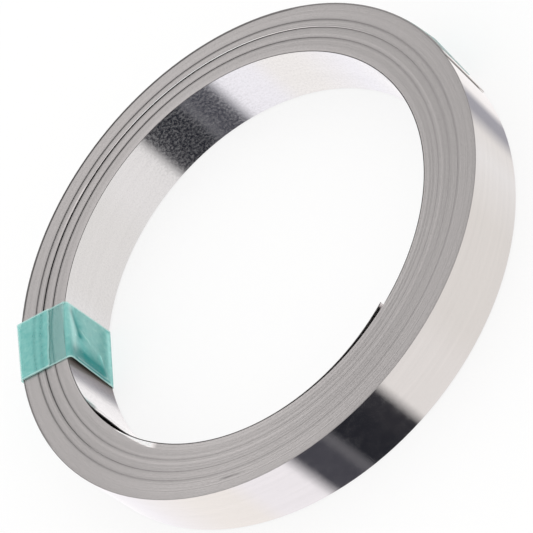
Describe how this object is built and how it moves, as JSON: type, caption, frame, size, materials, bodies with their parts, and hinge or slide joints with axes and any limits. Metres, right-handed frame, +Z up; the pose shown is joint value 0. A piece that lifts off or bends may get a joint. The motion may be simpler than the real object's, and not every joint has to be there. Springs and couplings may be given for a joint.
{
  "type": "nickel strip coil",
  "caption": "Flat ring coil of thin bright nickel strip for welding battery cell tabs, with an open bore, held shut by translucent teal tape.",
  "frame": {"origin": "on the axis of the bore, at the level surface that the coil lies on", "axes": "+Z up along the axis of the bore, +X from the axis towards the middle of the tape band"},
  "size_m": [0.0611, 0.061, 0.0083],
  "materials": {
    "nickel": "bright rolled faces, satin slit edges",
    "tape": "translucent teal film"
  },
  "bodies": {
    "root": {"nickel_coil": "nickel", "tape_band": "tape", "tail_tape": "tape"}
  },
  "joints": []
}
